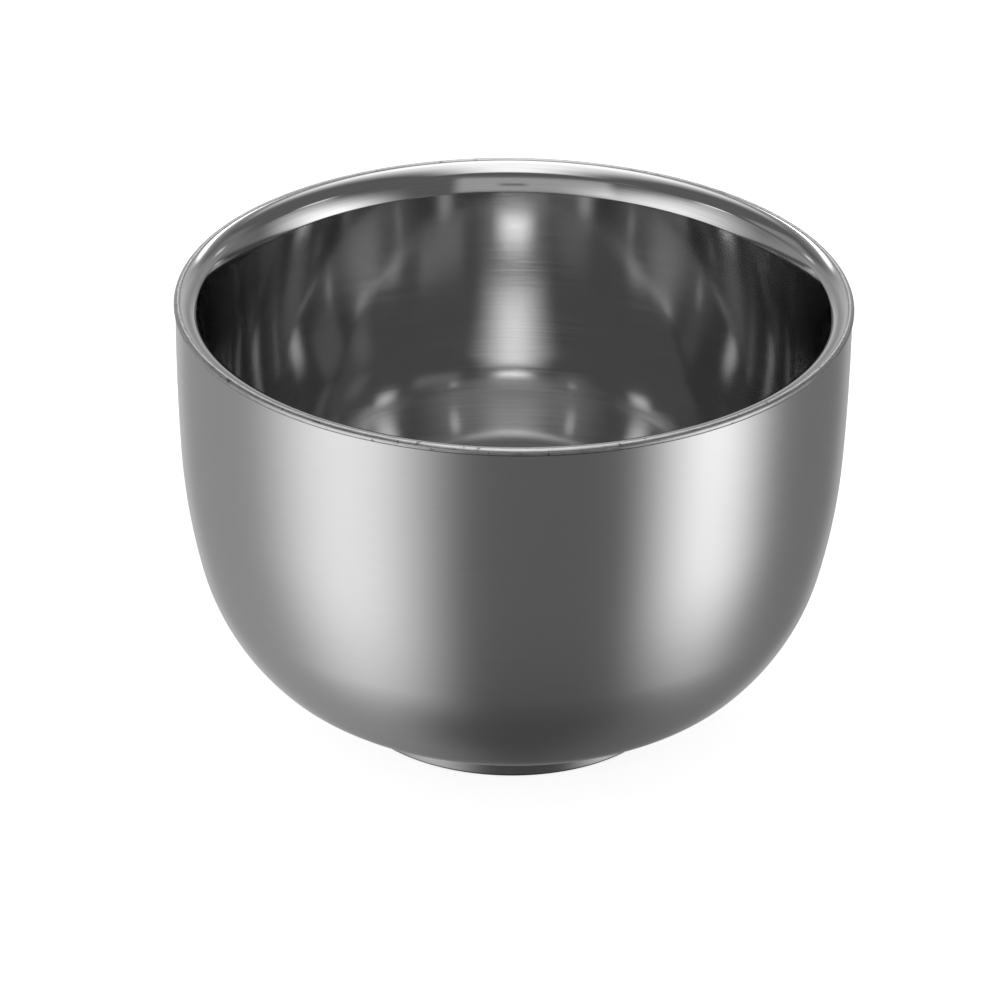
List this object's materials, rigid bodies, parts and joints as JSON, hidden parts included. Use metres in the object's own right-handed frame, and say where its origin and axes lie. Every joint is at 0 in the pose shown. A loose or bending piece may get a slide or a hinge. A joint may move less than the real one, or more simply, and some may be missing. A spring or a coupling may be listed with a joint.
{
  "type": "shaving bowl",
  "caption": "Round double-walled steel shaving bowl with a satin outside, a polished cavity, a rolled rim and a small pressed foot.",
  "frame": {"origin": "centre of the foot's resting ring, on the table plane", "axes": "+Z along the bowl's axis, out of its mouth; X and Y lie in the table plane"},
  "size_m": [0.1, 0.1, 0.0677],
  "materials": {
    "satin_shell": "fine satin, brushed round the axis",
    "polished_liner": "bright polish with fine spinning lines round the axis",
    "ground_weld": "hand-ground and buffed bead with small pits",
    "foot_steel": "fine satin, slightly darker than the shell",
    "weld_fillet": "brushed fillet weld"
  },
  "bodies": {
    "root": {"outer_shell": "satin_shell", "inner_shell": "polished_liner", "rim_weld": "ground_weld", "foot_cap": "foot_steel", "foot_weld": "weld_fillet"}
  },
  "joints": []
}
